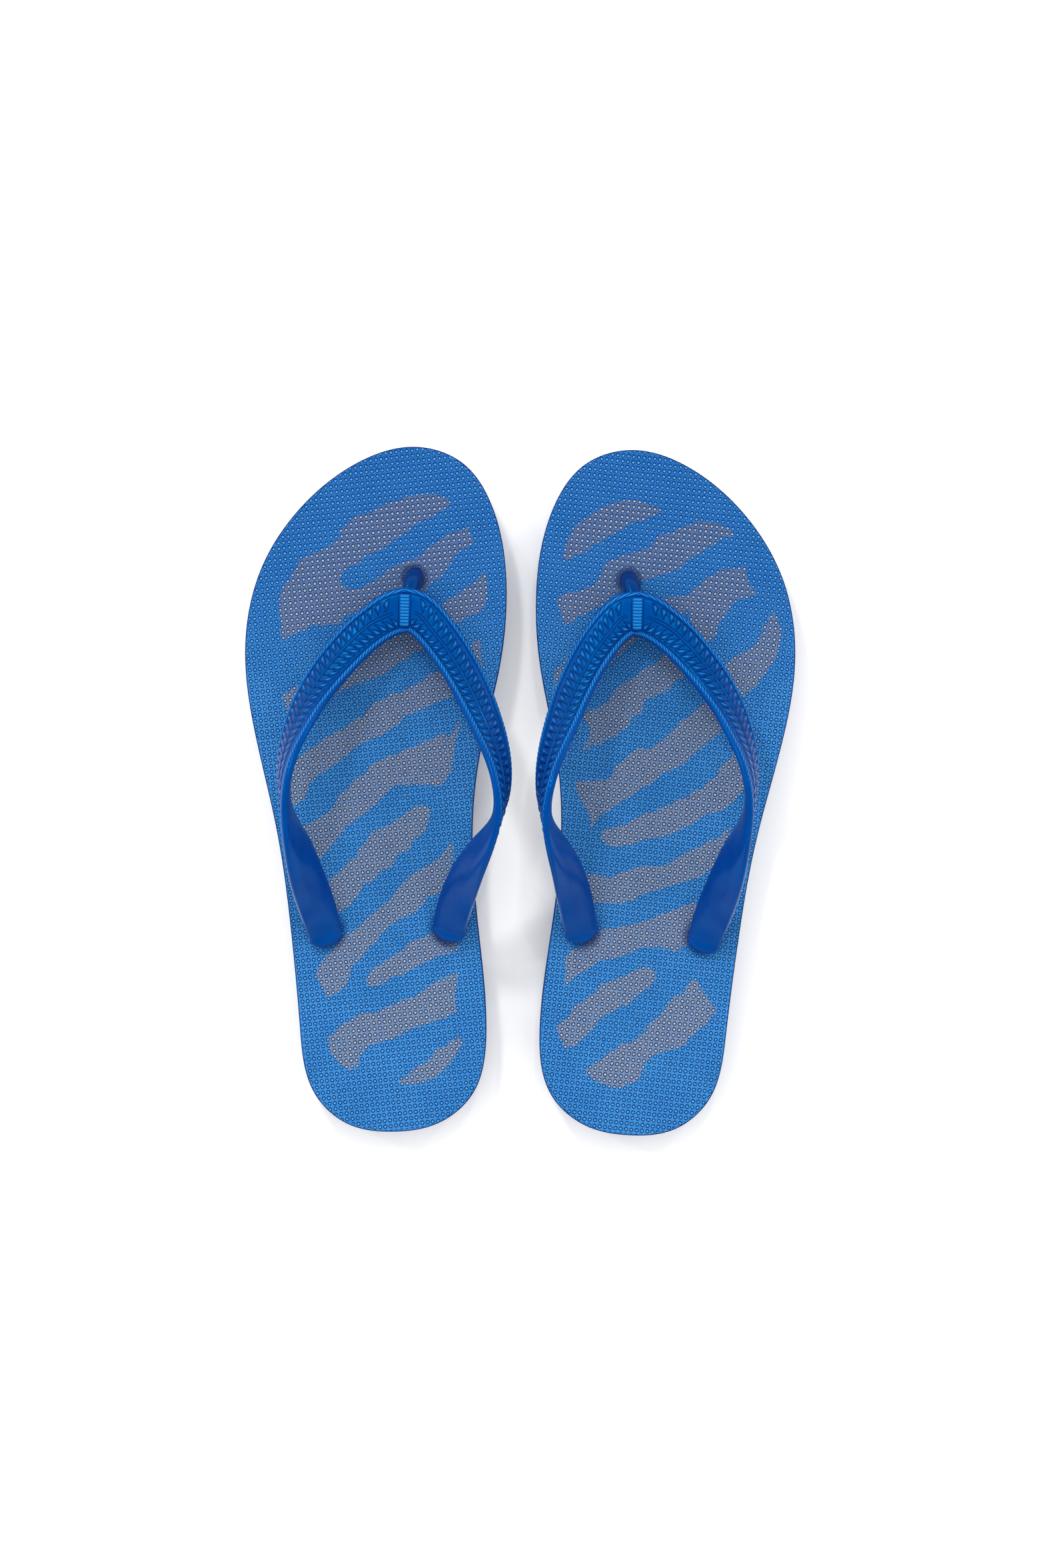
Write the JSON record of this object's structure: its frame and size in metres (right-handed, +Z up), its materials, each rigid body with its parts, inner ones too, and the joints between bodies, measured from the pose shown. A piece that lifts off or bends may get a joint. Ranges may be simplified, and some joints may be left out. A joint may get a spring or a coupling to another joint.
{
  "type": "pair of flip flops",
  "caption": "Pair of thong flip flops: flat laminated soles with a studded footbed, and a moulded Y strap held by a toe post and plug heads under the sole.",
  "frame": {"origin": "middle of the pair's footprint (bounding box bottom centre), at floor level", "axes": "+Z up, +Y from heels to toes, +X from the left shoe to the right shoe"},
  "size_m": [0.217, 0.2716, 0.0591],
  "materials": {
    "footbed_print": "matt foam rubber, bright blue, moulded with small square studs and printed with grey wavy bands",
    "midsole_foam": "matt closed-cell foam rubber, die-cut edge, mid blue",
    "outsole_rubber": "matt rubber, mid blue, with a moulded tread",
    "strap_rubber": "satin moulded rubber, saturated blue, with a raised leaf pattern on its outer face"
  },
  "bodies": {
    "left_shoe_rear": {"left_footbed_rear": "footbed_print", "left_midsole_rear": "midsole_foam", "left_outsole_rear": "outsole_rubber", "left_strap": "strap_rubber"},
    "left_shoe_front": {"left_footbed_front": "footbed_print", "left_midsole_front": "midsole_foam", "left_outsole_front": "outsole_rubber"},
    "right_shoe_rear": {"right_footbed_rear": "footbed_print", "right_midsole_rear": "midsole_foam", "right_outsole_rear": "outsole_rubber", "right_strap": "strap_rubber"},
    "right_shoe_front": {"right_footbed_front": "footbed_print", "right_midsole_front": "midsole_foam", "right_outsole_front": "outsole_rubber"}
  },
  "joints": [
    {"name": "left_sole_flex", "type": "hinge", "parent": "left_shoe_rear", "child": "left_shoe_front", "pos_m": [-0.05028, 0.05474, 0.016], "axis": [1, 0, 0], "range_deg": [0, 50], "stiffness_Nm_per_rad": 0.6, "deforming": ["left_strap"]},
    {"name": "right_sole_flex", "type": "hinge", "parent": "right_shoe_rear", "child": "right_shoe_front", "pos_m": [0.05026, 0.05318, 0.016], "axis": [0.9993, -0.0384, 0], "range_deg": [0, 50], "stiffness_Nm_per_rad": 0.6, "deforming": ["right_strap"]},
    {"name": "right_shoe_lift", "type": "slide", "parent": "left_shoe_rear", "child": "right_shoe_rear", "axis": [0, 0, 1], "range_m": [0, 0.08]}
  ]
}
